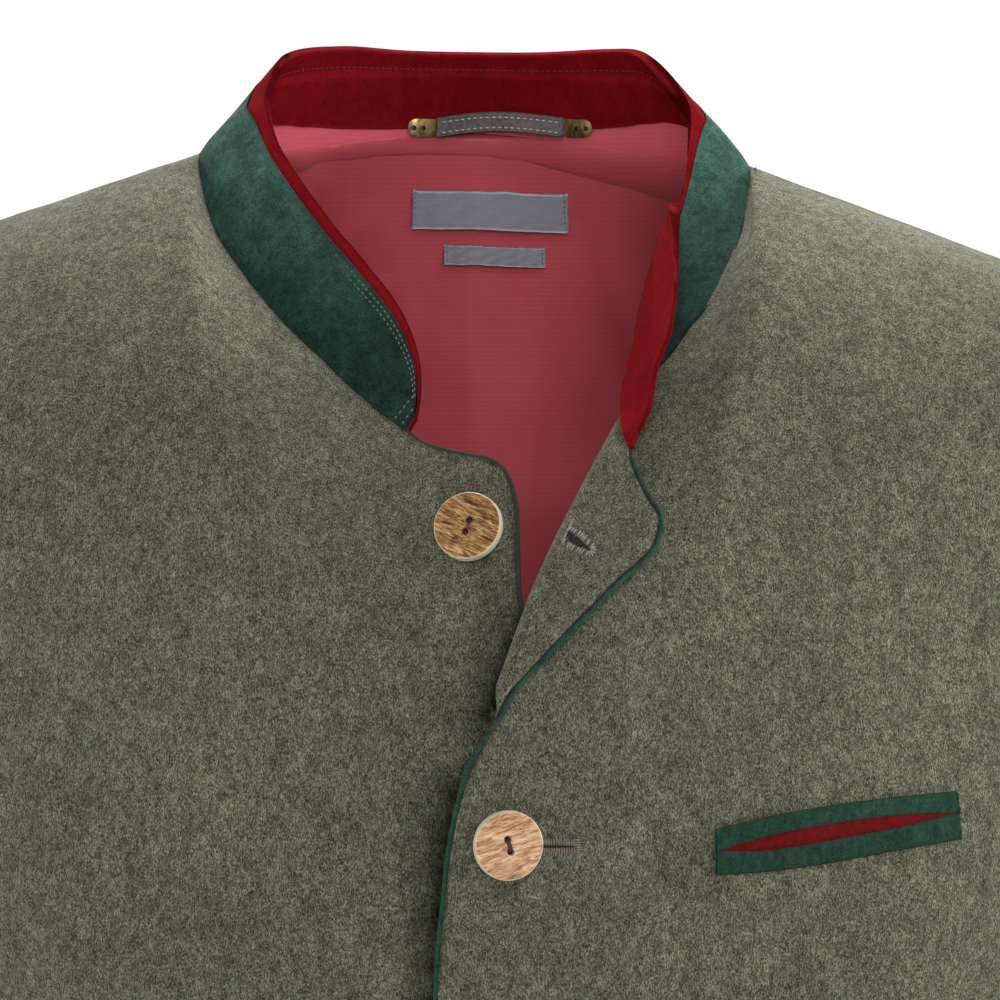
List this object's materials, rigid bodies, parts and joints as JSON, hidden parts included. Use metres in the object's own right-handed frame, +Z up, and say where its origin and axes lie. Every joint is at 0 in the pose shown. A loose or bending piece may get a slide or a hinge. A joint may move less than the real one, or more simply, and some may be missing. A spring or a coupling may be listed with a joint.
{
  "type": "tyrolean loden jacket",
  "caption": "Hip-length loden jacket with a green felt stand collar edged in red, piped front edges, horn buttons and a turned-back front corner, filled out as it is worn.",
  "frame": {"origin": "midway between the two neck ends of the shoulder seams, where the wearer's neck and shoulders hold the jacket up", "axes": "+Z up, -Y the way the front faces, +X to the wearer's left"},
  "size_m": [0.6674, 0.2749, 0.7415],
  "materials": {
    "loden": "fulled wool melange, matt, with a short nap",
    "green_felt": "bottle green wool felt, matt",
    "red_felt": "deep red wool felt, matt",
    "lining_satin": "rose red twill lining with a soft sheen",
    "label_satin": "blank grey satin ribbon",
    "horn": "polished staghorn, amber with dark streaks and a pale rind",
    "strap": "grey-brown strap with pale stitching",
    "brass": "worn brass"
  },
  "bodies": {
    "root": {"front_right": "loden", "front_left": "loden", "corner_left": "loden", "back": "loden", "sleeve_right": "loden", "sleeve_left": "loden", "lining": "lining_satin", "collar_outer": "green_felt", "piping_right": "green_felt", "piping_left": "green_felt", "welt_upper": "green_felt", "welt_lower": "green_felt", "collar_inner": "red_felt", "pocket_inset": "red_felt", "button_1": "horn", "button_2": "horn", "button_3": "horn", "button_4": "horn", "button_5": "horn", "label_main": "label_satin", "label_small": "label_satin", "hanger_tab_right": "brass", "hanger_tab_left": "brass", "hanger_strap": "strap"}
  },
  "joints": []
}
